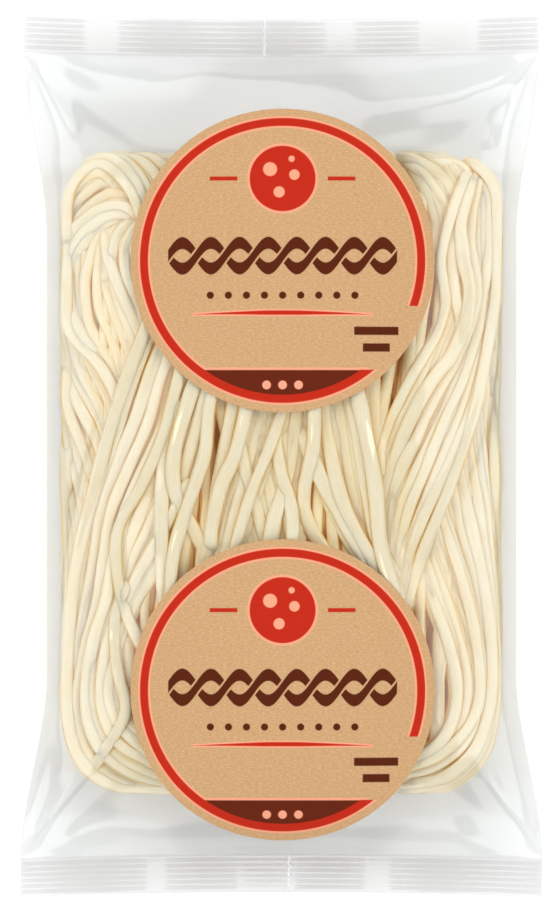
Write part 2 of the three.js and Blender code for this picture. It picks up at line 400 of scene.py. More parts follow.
LEANING = (
    ((-36, 42), (-40, 34), (-45.5, 20), (-50.5, 2.5), (-55, -11), (-58.5, -24.5), (-61, -38.5), (-62, -56),
     (-62.5, -74.5), (-60.5, -87), (-54.5, -94.5), (-45, -98), (-31, -99)),
    ((-30, 32.5), (-34, 21), (-37.5, 9), (-43, -2.5), (-49, -16.5), (-51, -30), (-53, -43), (-56.5, -55.5),
     (-59, -68.5), (-58.5, -79.5), (-54, -88.5), (-44, -94.5), (-31, -96.5)),
    ((-20.5, 23.5), (-26, 9.5), (-31.5, -4), (-36.5, -16.5), (-41.5, -27), (-46, -38), (-50.5, -49.5),
     (-52.5, -62.5), (-51.5, -73.5), (-47.5, -82), (-39.5, -88), (-29, -92)),
    ((-19, 23), (-21.5, 8), (-24.5, -6), (-28.5, -19), (-33.5, -30), (-39, -39), (-43.5, -48), (-46.5, -56),
     (-48, -66), (-45.5, -74), (-39.5, -80), (-30, -85)),
)
MIDDLE_UNDER = (
    ((-19.5, 18.5), (-16, 1.5), (-12, -15.5), (-7, -33)),
    ((-5.5, 20.5), (-2.5, 3), (0.5, -15.5), (4, -33)),
    ((18.5, 20.5), (10.5, 4.5), (5.5, -13), (3, -33)),
)
MIDDLE_LEFT_FAN = (
    ((-13.5, 19.5), (-16.5, 4.5), (-19.5, -13), (-22.5, -31.5)),
    ((5.5, 22.5), (0, 7), (-7.5, -13), (-13, -33)),
)
MIDDLE_RIGHT_FAN = (
    ((5.5, 20.5), (7.5, 4.5), (11.5, -10.5), (19.5, -26), (28.5, -39.5)),
    ((20.5, 23), (24, 7.5), (26.5, -10), (30, -26), (34.5, -40.5)),
)
RIGHT_TOP = (
    ((29, 88), (35, 87), (39.5, 82), (43.5, 73), (46, 62), (47, 50), (46, 37.5)),
    ((38, 88), (43, 86.5), (48, 81), (51, 73), (52, 63), (51, 53)),
    ((48, 87), (53, 84), (56, 77), (57, 68), (56, 60)),
)
RIGHT_LEANING = (
    ((56.5, 87.5), (51.5, 74.5), (47, 60.5), (46, 46), (41, 30.5), (34, 12.5), (29.5, -3.5), (28.5, -21)),
    ((58.5, 84.5), (55.5, 72), (55.5, 60.5), (56.5, 49), (53, 34.5), (46.5, 20.5), (38, 3), (31.5, -12),
     (30.5, -30)),
    ((60, 82), (59, 69.5), (59, 55), (57.5, 40.5), (52.5, 24.5), (47, 8.5), (38.5, -10.5), (33, -28.5),
     (32, -41.5)),
    ((62.5, 80), (62.5, 65), (62, 50), (60, 33.5), (56, 13), (48, -7.5), (41, -26.5), (36, -42)),
)
RIGHT_FALLING = (
    ((38, -30.5), (43, -43.5), (48, -57.5), (50, -69), (48, -78.5), (43, -85), (34, -88)),
    ((44, -19), (49.5, -35), (54.5, -52), (56.5, -67.5), (52.5, -81.5), (43, -89), (33, -91.5)),
    ((51, -5), (55.5, -24.5), (59.5, -44.5), (61, -64.5), (57.5, -83), (48, -93), (37.5, -95)),
    ((57, 15.5), (59.5, -7), (61.5, -30), (62.5, -53), (62.5, -72), (59, -87), (49, -96.5), (34.5, -99)),
)
RIGHT_EDGE = (
    ((63, 73.5), (63, 45), (62.5, 16), (62.5, -18.5), (63, -53), (62.5, -76)),
    ((61, 16), (61, -1.5), (62, -24.5), (62.5, -47.5)),
)

# Threads that lie singly on top of the families, the last on top.
LEFT_SIDE_THREADS = (
    ((-46.5, 77.5), (-50, 79.5), (-53.5, 79), (-57, 76.5), (-60, 73.5), (-62.5, 69), (-63.5, 63.5),
     (-64, 57.5), (-64, 47.5), (-64, 39), (-63.5, 33.5), (-62, 27.5), (-59, 21), (-55.5, 15), (-52.5, 9.5),
     (-51, 4.5)),
    ((-44, 75), (-49, 76), (-52.5, 74.5), (-56, 72), (-59, 69), (-62, 65), (-63, 60), (-63.5, 53.5),
     (-64, 42), (-64, 32), (-63.5, 26.5), (-62, 21.5), (-59.5, 15.5), (-56, 9), (-53, 2.5), (-52, -2)),
    ((-63.5, 24.5), (-63, 19.5), (-62, 13.5), (-60, 7.5), (-57, 0.5), (-55, -5)),
    ((-41.5, 69.5), (-45, 67), (-47.5, 64), (-49, 59), (-49.5, 55.5), (-51, 52)),
    ((-52, 63), (-53, 57), (-53.5, 50), (-53, 43.5), (-51, 37.5), (-48.5, 31.5), (-47, 26), (-46, 19)),
    ((-51, 66), (-51, 61.5), (-50, 56.5), (-48, 51), (-46, 46), (-43.5, 41), (-41.5, 36), (-40, 32)),
    ((-51, 67), (-54, 61.5), (-55.5, 57), (-57, 51.5), (-57, 45.5), (-56, 39), (-53.5, 33), (-50, 27.5),
     (-47, 22.5), (-45.5, 18.5)),
    ((-47, 69.5), (-51.5, 67.5), (-55, 64.5), (-58, 61), (-60.5, 57), (-61.5, 52), (-62, 46), (-60.5, 40.5),
     (-58, 35.5), (-55.5, 30.5), (-53, 26)),
    ((-43, 72.5), (-47, 73.5), (-51, 72.5), (-55, 70.5), (-58.5, 67.5), (-61, 64), (-63, 59), (-63.5, 54),
     (-63.5, 49.5), (-62.5, 45.5), (-60.5, 40.5), (-58, 36), (-55, 32), (-52.5, 27.5), (-50.5, 23),
     (-48, 18.5), (-47.5, 13)),
    ((-43.5, 70), (-47, 70.5), (-51, 69.5), (-54.5, 67), (-58, 64), (-60.5, 60), (-62.5, 55), (-62.5, 49),
     (-62, 44), (-60, 39), (-57.5, 34), (-54.5, 29.5)),
    ((-42, 70), (-45, 72), (-49, 72.5), (-53, 71.5), (-57, 69), (-60.5, 66), (-62.5, 62), (-63.5, 57),
     (-64, 52), (-64, 45.5), (-63, 40), (-61.5, 35.5), (-58.5, 32), (-54.5, 28), (-51.5, 24), (-49, 19.5),
     (-47.5, 15)),
    ((-49, 79.5), (-53, 82.5), (-56, 81.5), (-59, 79), (-61, 75.5), (-62.5, 71.5), (-63, 66.5),
     (-63.5, 61.5)),
)
CROWN_THREADS = (
    ((-47, 88.5), (-42, 88), (-38, 86.5), (-34, 83.5)),
    ((-50, 88.5), (-45, 87.5), (-40, 85), (-36, 81), (-35, 76.5)),
    ((-53, 88), (-48, 87), (-44, 84.5), (-41, 81), (-38.5, 76.5), (-37.5, 72)),
    ((-55.5, 87), (-51, 87), (-47.5, 85), (-44, 81.5), (-41.5, 77), (-40, 72)),
    ((-63.5, 63.5), (-63, 70), (-62, 76), (-60, 80.5), (-57, 83.5), (-53.5, 85), (-50.5, 84), (-47, 81),
     (-44, 77), (-41.5, 71.5), (-40.5, 67)),
)
LEFT_TOP_THREADS = (
    ((-27, -8), (-32.5, -18.5), (-38.5, -29), (-43.5, -38.5), (-48, -48), (-51, -57.5), (-52.5, -69),
     (-50.5, -78.5), (-45.5, -85), (-35, -89.5)),
    ((-45, -38), (-48, -46), (-48.5, -55), (-47, -64.5), (-45, -72), (-46.5, -78), (-50.5, -84.5),
     (-54, -90), (-56, -92.5)),
    ((-38, 39.5), (-44, 24.5), (-49, 9), (-53.5, -6.5), (-57.5, -21.5), (-60.5, -36), (-62, -53),
     (-62.5, -72), (-60, -86), (-53, -94), (-43, -97.5), (-31, -98.5)),
    ((-30, 16), (-33.5, 3), (-34.5, -13), (-34.5, -30), (-33.5, -47.5)),
    ((-21.5, 30), (-27, 15.5), (-31, 1.5), (-31, -9.5), (-26.5, -19.5), (-21, -29), (-17, -36)),
    ((-28, 30.5), (-31, 17.5), (-35, 4), (-41, -9.5), (-47, -20.5), (-48, -30.5), (-46, -43), (-41.5, -53.5),
     (-37, -60.5)),
    ((-17, 24), (-20.5, 15.5), (-22, 1.5), (-24.5, -7), (-28.5, -18), (-31.5, -30), (-32, -44)),
)
MIDDLE_TOP_THREADS = (
    ((-12.5, 5.5), (-10.5, -4), (-7.5, -14.5), (-4.5, -26)),
    ((5, 19), (3.5, 4.5), (1, -8), (-2, -18), (-4, -30)),
    ((-1.5, 9.5), (-1.5, 3), (0, -5), (3, -17), (2.5, -32)),
    ((26, 30.5), (26.5, 16), (28, -6)),
    ((7, 4.5), (11.5, -7), (18.5, -20), (27, -34.5)),
    ((11.5, 20.5), (13.5, 4.5), (17.5, -13), (26, -30), (32.5, -39.5)),
    ((18.5, 21.5), (21.5, 7.5), (24.5, -11.5), (27, -23), (32, -33.5)),
    ((20.5, 23.5), (24, 9), (27, -8.5), (28.5, -26), (33, -41)),
    ((9.5, 22.5), (9, 3), (6.5, -10), (7.5, -19), (14.5, -30.5)),
    ((-8.5, 20.5), (-13, 1.5), (-17.5, -9), (-20, -20), (-20.5, -26)),
    ((3.5, 23), (-2.5, 4.5), (-9, -11.5), (-13.5, -26.5), (-14.5, -34.5)),
)
HEAD_RIGHT_THREADS = (
    ((33.5, 88), (37.5, 84.5), (41, 78), (44, 71.5), (45.5, 64.5), (45.5, 56.5)),
    ((36.5, 85.5), (40.5, 82), (44, 77.5), (47.5, 72.5), (49.5, 68)),
    ((35.5, 87.5), (40, 85), (44.5, 82.5), (48, 79), (51, 74)),
    ((45.5, 85), (50, 85), (53.5, 83), (54.5, 78)),
    ((61.5, 80), (62.5, 72), (62.5, 62), (61.5, 52), (60, 42), (59, 30.5), (57, 20.5), (54.5, 11.5),
     (50.5, 3), (45.5, -8), (40.5, -19), (36.5, -31), (34, -43)),
    ((58.5, 83.5), (60, 75), (60.5, 65), (60, 55.5), (58.5, 46), (57.5, 37.5), (55, 29), (52, 20.5),
     (48.5, 13), (45, 5), (41.5, -4), (37, -15), (33.5, -27), (31, -40)),
    ((57.5, 82), (55.5, 72), (54.5, 62), (56, 54), (56.5, 47), (55, 40.5), (52.5, 33.5), (49.5, 26.5),
     (45.5, 19.5), (42, 12.5), (38.5, 4.5), (34, -5), (30.5, -16), (28.5, -28), (27.5, -38)),
    ((55.5, 81.5), (53, 73.5), (51, 66.5), (49.5, 58.5), (49.5, 52), (50.5, 45.5), (52.5, 39.5), (52, 34.5)),
    ((55, 79.5), (53, 72), (52, 66.5), (52.5, 60.5), (53, 55.5), (54.5, 50), (54.5, 45), (53.5, 39),
     (51.5, 33.5), (49, 28.5), (45, 23.5), (41, 17.5), (37.5, 11), (34.5, 4.5), (31.5, -3.5), (28.5, -13),
     (26.5, -23), (25.5, -35)),
    ((56.5, 89), (54.5, 83.5), (51.5, 76.5), (49, 69.5), (47, 62), (46, 55.5), (47, 49), (47.5, 43.5),
     (45.5, 36), (41.5, 29), (37.5, 22.5), (34, 15.5), (31, 8.5), (28.5, 1), (26, -9), (24.5, -19),
     (24, -33)),
)
FOOT_RIGHT_THREADS = (
    ((45.5, -15.5), (50.5, -30), (55, -45), (57.5, -60), (57.5, -71.5), (53.5, -80), (45.5, -87),
     (35.5, -90.5)),
)
RIGHT_TOP_THREADS = (
    ((57, 86), (61, 80.5), (63, 72), (63, 53.5), (60, 32), (56, 12.5), (49, -8), (41.5, -26.5), (36, -43.5)),
)


def singles(routes, **facts):
    return [new_thread(run_on(curve(route)), wander=0.1, **facts) for route in routes]


def ring_line(inset):
    """A loop round the heap, that far in from its outline."""
    radius = max(4.0, HEAP_CORNER - inset)
    half_x = HEAP_HALF_WIDTH - inset
    half_y = HEAP_HALF_LENGTH - inset
    points = []
    for sign_x, sign_y, start in ((1, 1, 90), (1, -1, 0), (-1, -1, -90), (-1, 1, -180)):
        corner_x = sign_x * (half_x - radius)
        corner_y = HEAP_MIDDLE + sign_y * (half_y - radius)
        for turn in np.radians(np.linspace(start, start - 90, 12)):
            points.append((corner_x + radius * math.cos(turn), corner_y + radius * math.sin(turn)))
    seam = (0.0, HEAP_MIDDLE + half_y)
    return np.array([seam] + points + [seam])


def level_inset(z):
    """How far in from the heap's outline a loop at height z lies, to follow the film's round side."""
    xs = np.linspace(40.0, WAIST_WIDTH / 2.0 - 0.5, 200)
    half = THREAD_THICKNESS / 2.0
    below_film = crown(xs, 0.0) - LOOP_UNDER_FILM > z + half
    fits = below_film & (underside(xs, 0.0) + LOOP_OVER_FILM < z - half)
    reach = xs[fits].max() if fits.any() else 52.0
    return max(LOOP_INSET, HEAP_HALF_WIDTH - reach + THREAD_WIDTH / 2.0)


def loop_from_anywhere(ring):
    """A closed line begun at a random point and carried on past its own start."""
    ring = respaced(ring)[:-1]
    start = RNG.integers(len(ring))
    return np.vstack([ring[start:], ring[: start + LOOP_OVERLAP]])


def wall_loops():
    """Loops one above another down the heap's sides and ends, two deep."""
    made = []
    for z in np.arange(WALL_FOOT, WALL_HEAD, THREAD_THICKNESS * WALL_PITCH):
        # The second number is how deep a row of loops counts as lying, for the painted depth shade.
        for depth, buried in ((0.0, 0.8), (THREAD_WIDTH * WALL_PITCH, 3.0)):
            line = loop_from_anywhere(ring_line(level_inset(z) + depth))
            thread = new_thread(line, wander=0.6, buried=buried, sides=8, open_side="side")
            x, y = thread.line.T
            thread.height = np.minimum(z + wandering(len(x), 0.5, 70.0), heap_top(x, y) - WALL_DEPTH)
            made.append(thread)
    return made


def floor_loops():
    """Loops side by side that the pack lies on."""
    made = []
    z = FLOOR_HEIGHT + THREAD_THICKNESS / 2.0
    for inset in np.arange(level_inset(z) + 0.5, HEAP_HALF_WIDTH - 3.0, THREAD_WIDTH * FLOOR_PITCH):
        line = loop_from_anywhere(ring_line(inset))
        thread = new_thread(line, wander=0.8, buried=1.0, sides=8, open_side="bottom")
        thread.height = z + np.abs(wandering(len(thread.line), 0.15))
        made.append(thread)
    return made


def settle(laid):
    """Moves the laid threads up or down together, so that the heap's top follows heap_top, under the film."""
    lift = room_above(laid, softness=2.6)
    for thread in laid:
        x, y = thread.line.T
        ceiling = heap_top(x, y) + PILE_OVER - thread.thickness / 2.0
        under = ceiling - thread.height - read_map(lift, x, y)
        # The film presses the pile together: more and more with depth, and every thread stays in its order.
        under = PRESSED * np.log1p(np.exp(under / PRESSED))
        thread.height = blur_line(ceiling - PILE_KEPT * (1.0 - np.exp(-under / PILE_KEPT)), 1.0)
        from_end = np.minimum(np.arange(len(x)), np.arange(len(x))[::-1]) * STEP
        thread.height -= END_DIVE * (1.0 - smooth_step(from_end / END_DIVE_LENGTH))
        thread.keep_off_floor()


def surface_of(threads):
    """The map of the threads' highest points, and far below them where there are none."""
    top = np.full(PLAN_X.shape, -50.0)
    for thread in threads:
        raise_map(top, thread, 4)
    return top


def room_above(threads, softness):
    """How far the threads stay below heap_top, as if there were no gaps between them."""
    room = np.minimum(heap_top(PLAN_X, PLAN_Y) - surface_of(threads), PILE_DEPTH)
    return blur_map(-widest_round(-room, GAP_REACH), softness)


def closed_level(threads):
    """The height of the heap's surface as it would be with no gaps between its upper threads."""
    return heap_top(PLAN_X, PLAN_Y) - np.maximum(room_above(threads, softness=2.5), 0.0)


# Places where the view goes deeper between the upper threads: (x, y, half width, half length, depth).
HOLLOWS = (
    (-17.0, 5.0, 2.6, 11.0, 6.0),
    (-15.5, -22.0, 1.8, 9.0, 4.0),
    (-8.5, -22.0, 1.8, 5.0, 3.0),
    (-1.0, 4.0, 1.6, 4.0, 3.0),
    (28.0, 6.0, 1.8, 4.0, 4.0),
    (-43.0, 66.0, 3.0, 3.5, 3.0),
    (-40.0, 54.0, 3.0, 9.0, 2.0),
    (-42.5, -42.0, 1.8, 5.0, 3.0),
    (46.0, -54.0, 1.5, 9.0, 2.5),
)


def hollow_depth(x, y):
    depth = np.zeros(np.shape(x))
    for middle_x, middle_y, half_x, half_y, deep in HOLLOWS:
        depth += deep * np.exp(-(((x - middle_x) / half_x) ** 2) - ((y - middle_y) / half_y) ** 2)
    return depth


def backing(count, lean, depth, level):
    """A close layer of threads that shows in the gaps, at one depth below the heap's own level."""
    made = under_layer(count, lean)
    for thread in made:
        x, y = thread.line.T
        thread.height = read_map(level, x, y) - depth - hollow_depth(x, y) + wandering(len(x), 0.35, 50.0)
        thread.keep_off_floor()
    return made


# ---- Meshes ----
def mesh_object(name, vertices, faces):
    """A smooth-shaded mesh. Vertices are in millimetres."""
    mesh = bpy.data.meshes.new(name)
    mesh.from_pydata((np.asarray(vertices) * MM).tolist(), [], [list(face) for face in faces])
    mesh.update()
    made = bpy.data.objects.new(name, mesh)
    bpy.context.scene.collection.objects.link(made)
    mesh.polygons.foreach_set("use_smooth", [True] * len(mesh.polygons))
    return made


THREAD_LEAN = 18.0  # degrees by which a thread's broad side tips to and fro
SECTION_SQUARENESS = 0.68  # below 1, a thread's section is a rectangle with well rounded corners
SWELL = 0.06  # share by which its width and its thickness vary
ROUND_END = 0.45  # share of its width over which its end is rounded off
END_WIDTH = 0.2  # share of its width that is left at the very end


def squared(wave):
    return np.sign(wave) * np.abs(wave) ** SECTION_SQUARENESS


def thread_rings(thread):
    """Vertices, faces and grain of one thread: a soft-edged ribbon with round ends.

    The grain is a place in the thread's own space: across it, towards its open side, and along it."""
    line = np.column_stack([thread.line, thread.height])
    ahead = np.gradient(line, axis=0)
    ahead /= np.linalg.norm(ahead, axis=1)[:, None]
    count, sides = len(line), thread.sides
    run = np.arange(count) * STEP
    from_end = np.minimum(run, run[-1] - run)
    lean = np.radians(THREAD_LEAN) * wandering(count, 1.0, wavelength=60.0)
    up = np.column_stack([np.sin(lean), np.zeros(count), np.cos(lean)])
    side = np.cross(ahead, up)
    side /= np.linalg.norm(side, axis=1)[:, None]
    out = np.cross(side, ahead)

    near_end = np.clip(from_end / (thread.width * ROUND_END), 0.0, 1.0)
    taper = np.sqrt(1.0 - (1.0 - near_end) ** 2) * (1.0 - END_WIDTH) + END_WIDTH
    half, tall = thread.width / 2.0, thread.thickness / 2.0
    half_w = (half * (1.0 + SWELL * wandering(count, 1.0, wavelength=24.0)) * taper)[:, None, None]
    half_t = (tall * (1.0 + SWELL * wandering(count, 1.0, wavelength=31.0)) * taper)[:, None, None]
    turn = 2 * np.pi * np.arange(sides) / sides
    rings = (
        line[:, None, :]
        + side[:, None, :] * squared(np.cos(turn))[None, :, None] * half_w
        + out[:, None, :] * squared(np.sin(turn))[None, :, None] * half_t
    )
    vertices = np.vstack([rings.reshape(-1, 3), line[:1], line[-1:]])

    corner = np.arange(sides)
    after = (corner + 1) % sides
    here = sides * np.arange(count - 1)[:, None]
    there = here + sides
    quads = np.stack([here + corner, there + corner, there + after, here + after], axis=-1).reshape(-1, 4)
    first, last, end = count * sides, count * sides + 1, (count - 1) * sides
    caps = [(first, a, b) for a, b in zip(corner, after)]
    caps += [(last, end + b, end + a) for a, b in zip(corner, after)]

    # How far each point faces out of the heap: the cheese material paints shade on the sides that face in.
    seen = {
        "top": np.sin(turn),
        "side": np.maximum(np.abs(np.cos(turn)), np.sin(turn)),
        "bottom": -np.sin(turn),
    }
    # A thread's ends lie open all round.
    open_end = 1.0 - smooth_step(from_end / END_DIVE_LENGTH)
    openness = np.maximum(seen[thread.open_side][None, :], open_end[:, None]).ravel()
    grain = np.column_stack([np.tile(np.cos(turn) * half, count), openness * tall, np.repeat(run, sides)])
    grain = np.vstack([grain, [[0.0, tall, 0.0]], [[0.0, tall, run[-1]]]])
    return vertices, quads.tolist() + caps, grain


SIDE_START = 54.0  # from here outwards the painted depth shade fades out, because light reaches threads from the side, however low they lie
SIDE_FULL = 63.0
GRAIN_SHIFT = 37.0  # between one thread's grain and the next one's, so that none repeats another


def thread_piece(name, threads):
    """All of one hank's threads as a single mesh, with what the cheese material reads."""
    vertices, faces, grains, tints, shade_depths = [], [], [], [], []
    first = 0
    for number, thread in enumerate(threads):
        points, corners, grain = thread_rings(thread)
        x, y, z = points.T
        vertices.append(points)
        faces += [[first + corner for corner in face] for face in corners]
        grains.append(grain + [0.0, 0.0, GRAIN_SHIFT * number])
        tints.append(np.full(len(points), thread.tint))
        # Painted shade: each point's depth below the heap's top, which the cheese material turns into tan and
        # brown colour.
        if thread.buried is None:
            at_side = smooth_step((np.abs(x) - SIDE_START) / (SIDE_FULL - SIDE_START))
            shade_depths.append(np.maximum(heap_top(x, y) - z, 0.0) * (1.0 - at_side) + at_side)
        else:
            shade_depths.append(np.full(len(points), thread.buried))
        first += len(points)
    made = mesh_object(name, np.vstack(vertices), faces)
    add_attributes(made, tint=np.concatenate(tints), depth=np.concatenate(shade_depths), grain=np.vstack(grains))
    return made


def add_attributes(piece, **attributes):
    """Numbers or vectors at each point, for a material to read."""
    for name, values in attributes.items():
        kind, slot = ("FLOAT", "value") if values.ndim == 1 else ("FLOAT_VECTOR", "vector")
        attribute = piece.data.attributes.new(name, kind, "POINT")
        attribute.data.foreach_set(slot, values.astype(np.float32).ravel())


def select_only(*pieces):
    bpy.ops.object.select_all(action="DESELECT")
    for piece in pieces:
        piece.select_set(True)
    bpy.context.view_layer.objects.active = pieces[0]


def primitive(name, operator, **settings):
    """One of Blender's primitives, under a name of its own."""
    bpy.ops.object.select_all(action="DESELECT")
    operator(**settings)
    made = bpy.context.object
    made.name = made.data.name = name
    return made


def points_of(piece):
    points = np.empty(3 * len(piece.data.vertices))
    piece.data.vertices.foreach_get("co", points)
    return points.reshape(-1, 3)


def place_points(piece, *axes_mm):
    """Moves every point of a piece to its new x, y and z."""
    piece.data.vertices.foreach_set("co", (np.column_stack(axes_mm) * MM).ravel())
    piece.data.update()


def edit_mesh(piece, *steps):
    """Runs edit-mode operators, each a function and its settings, on the whole of a piece."""
    select_only(piece)
    bpy.ops.object.mode_set(mode="EDIT")
    bpy.ops.mesh.select_all(action="SELECT")
    for operator, settings in steps:
        operator(**settings)
    bpy.ops.object.mode_set(mode="OBJECT")


# ---- The film ----
CRIMP_RIBS = 7
CRIMP_DEPTH = 0.24
SEAM_WIDTH = 0.7
SEAM_PLACES = (("head", -5.0, 1.0), ("foot", 2.2, -1.0))  # where the back's seam meets each end seal
FILM_COLUMNS = 150
BODY_ROWS = 196
SHOULDER_ROWS = 16
SHOULDER = 12.0  # stretch of film next to a seal that needs closer rows of points
FILM_SAG = 1.4  # over the heap, the film hangs this far below its own form if no thread holds it up
FILM_GAP = 0.12  # between the film and the threads it lies on
DRAPE_BAND = 7.0  # from the heap's edge to where the film has left its own form
RIM = 0.9999  # beyond this share of the half width, the two sheets meet
SEAL_STEP = 0.8  # length over which the film flattens into a seal
OFF_TABLE = 0.02  # the film's underside stays this far above the table
SEAM_CRINKLE = 0.28  # how far the seam's folds swing to either side
SEAM_BULGE = 0.42  # its half thickness as a share of the seal's


@dataclass
class Fold:
    """A crease in the film along a route in plan: a ridge, or a valley if its height is negative."""

    route: tuple
    height: float
    width: float  # of one flank, at the far end of the route
    fade: float = 0.2  # share of its length over which each end dies away

    def relief(self, x, y):
        line = respaced(curve(self.route), 14)
        off = np.full(np.shape(x), 1e3)
        along = np.zeros(np.shape(x))
        for number, (a, b) in enumerate(zip(line[:-1], line[1:])):
            ahead = b - a
            share = np.clip(((x - a[0]) * ahead[0] + (y - a[1]) * ahead[1]) / (ahead @ ahead), 0.0, 1.0)
            distance = np.hypot(x - a[0] - share * ahead[0], y - a[1] - share * ahead[1])
            along = np.where(distance < off, (number + share) / (len(line) - 1), along)
            off = np.minimum(off, distance)
        spread = self.width * (0.4 + 0.6 * along)
        flank = np.clip(1.0 - off / spread, 0.0, 1.0)
        ends = smooth_step(along / self.fade) * smooth_step((1.0 - along) / self.fade)
        return self.height * flank**1.2 * ends


# The creases that run from each seal corner towards the heap, and those that lie along the seals.
FOLDS = (
    Fold(((-73.5, 116), (-69, 107), (-65.5, 98), (-62, 86)), 2.2, 7.0),
    Fold(((-73, 117), (-60, 109), (-47, 103), (-28, 101)), -1.0, 9.0),
    Fold(((-40, 108), (-30, 111), (-21, 113.5), (-10, 111.5), (4, 111.5)), 1.1, 6.0),
    Fold(((74, 116.5), (64, 109), (52, 105), (36, 102.5), (16, 100)), 2.0, 9.0),
    Fold(((74, 115), (69, 106), (66, 97), (64, 84)), 1.9, 5.0),
    Fold(((59, 107), (59, 98), (60, 88)), -1.1, 6.0),
    Fold(((-73.5, -116), (-64, -103), (-55, -92), (-46, -80)), 2.1, 6.5),
    Fold(((-74, -114), (-70, -102), (-67.5, -92), (-66, -80)), -1.2, 4.5),
    Fold(((-64, -112), (-52, -108), (-38, -109)), 1.3, 6.0),
    Fold(((74, -115), (68, -106), (62, -98), (56, -88)), 2.0, 5.0),
    Fold(((74, -113), (70, -100), (67, -84), (65, -68)), 1.4, 4.0),
    Fold(((71, -116), (58, -109), (45, -105), (30, -104)), -1.1, 8.0),
    Fold(((31, -107), (43, -106), (56, -110)), 1.2, 6.0),
)


def film_relief(x, y):
    """Creases, ripples at the seals and a little slackness, for film that touches nothing."""
    relief = sum(fold.relief(x, y) for fold in FOLDS)
    to_seal = np.clip(SEAL_LINE - np.abs(y), 0.0, None)
    near_seal = np.exp(-(((to_seal - 7.0) / 6.0) ** 2))
    ripple = np.sin(x / 6.3 + np.sign(y) * 1.3) * np.sin(x / 15.0 + 0.7)
    slack = np.sin(x / 9.0 + y / 23.0) * np.sin(y / 11.0 - x / 31.0)
    relief = relief + 0.45 * near_seal * ripple + 0.22 * slack * smooth_step(to_seal / 8.0)
    sides = smooth_step((1.0 - np.abs(x) / half_width(y)) / 0.06)
    return relief * sides * smooth_step(to_seal / 3.0)


def drape(threads):
    """The film's height over the plan: its own form outside the heap, and close on the threads over it."""
    over_heap = smooth_step((outline_distance(PLAN_X, PLAN_Y) - 1.0) / DRAPE_BAND)
    free = crown(PLAN_X, PLAN_Y) + film_relief(PLAN_X, PLAN_Y) * (1.0 - over_heap) - FILM_SAG * over_heap
    touched = widest_round(surface_of(threads), 1)
    height = blur_map(np.maximum(free, widest_round(touched, 3)), 1.6)
    for _ in range(3):
        pushed = np.maximum(touched + FILM_GAP - height, 0.0)
        height = height + blur_map(widest_round(pushed, 2), 1.2)
    return height


def film_columns():
    """Places from -1 to 1 across the film, closer together towards both sides."""
    t = np.linspace(-1.0, 1.0, FILM_COLUMNS)
    return np.sign(t) * (1.0 - (1.0 - np.abs(t)) ** 1.3)


def film_rows():
    """Places of the film's rows of points along the pack: close together on the crimped strips."""
    strip = np.linspace(SEAL_LINE, HALF_LENGTH, 4 * CRIMP_RIBS + 1)
    shoulder = SEAL_LINE - SHOULDER * (np.linspace(1.0, 0.0, SHOULDER_ROWS + 1)[:-1] ** 1.5)
    body = np.linspace(-SEAL_LINE + SHOULDER, SEAL_LINE - SHOULDER, BODY_ROWS)
    return np.concatenate([-strip[::-1], -shoulder[::-1], body, shoulder, strip])


def crimp(u, v):
    """Ribs that the sealing jaws press in, deeper here and shallower there."""
    into = (np.abs(v) - SEAL_LINE) / SEAL_STRIP
    rib = np.sin(2 * np.pi * CRIMP_RIBS * into)
    bite = np.clip(0.6 + 0.5 * np.sin(5.2 * u - 1.9 * np.sign(v)) * np.cos(9.0 * u + 0.5), 0.3, 1.0)
    edges = smooth_step(into / 0.06) * smooth_step((1.0 - into) / 0.06)
    return CRIMP_DEPTH * rib * bite * np.where(into > 0.0, edges, 0.0)


def film_bag(draped):
    """Both sheets of film, made from grids and joined round the rim into one closed bag."""
    us, vs = film_columns(), film_rows()
    sheets = []
    for name, side in (("upper_sheet", 1.0), ("lower_sheet", -1.0)):
        grid = bpy.ops.mesh.primitive_grid_add
        last = (len(us) - 1, len(vs) - 1)
        sheet = primitive(name, grid, x_subdivisions=last[0], y_subdivisions=last[1], size=2.0)
        column, row = ((points_of(sheet)[:, :2] + 1.0) / 2.0 * last).T
        u, v = us[np.rint(column).astype(int)], vs[np.rint(row).astype(int)]
        x, y = u * half_width(v), row_y(v, u)
        in_strip = smooth_step((np.abs(v) - SEAL_LINE + SEAL_STEP / 2.0) / SEAL_STEP)
        at_rim = (np.abs(u) > RIM) | (np.abs(v) > HALF_LENGTH - 1e-6)
        half_gap = np.where(at_rim, 0.0, SEAL_THICKNESS / 2.0)
        body = read_map(draped, x, v) if side > 0.0 else underside(x, v) + OFF_TABLE
        body = np.where(np.abs(u) > RIM, SEAL_HEIGHT, body)
        z = body * (1 - in_strip) + (SEAL_HEIGHT + side * half_gap) * in_strip
        place_points(sheet, x, y, z + crimp(u, v))
        add_attributes(sheet, pressed=in_strip)
        sheets.append(sheet)
    bag, lower = sheets
    edit_mesh(lower, (bpy.ops.mesh.flip_normals, {}))
    select_only(bag, lower)
    bpy.ops.object.join()
    bag.name = bag.data.name = "film_bag"
    edit_mesh(bag, (bpy.ops.mesh.remove_doubles, {"threshold": 0.00002}))
    bpy.ops.object.shade_smooth_by_angle(angle=math.radians(50.0))
    return bag


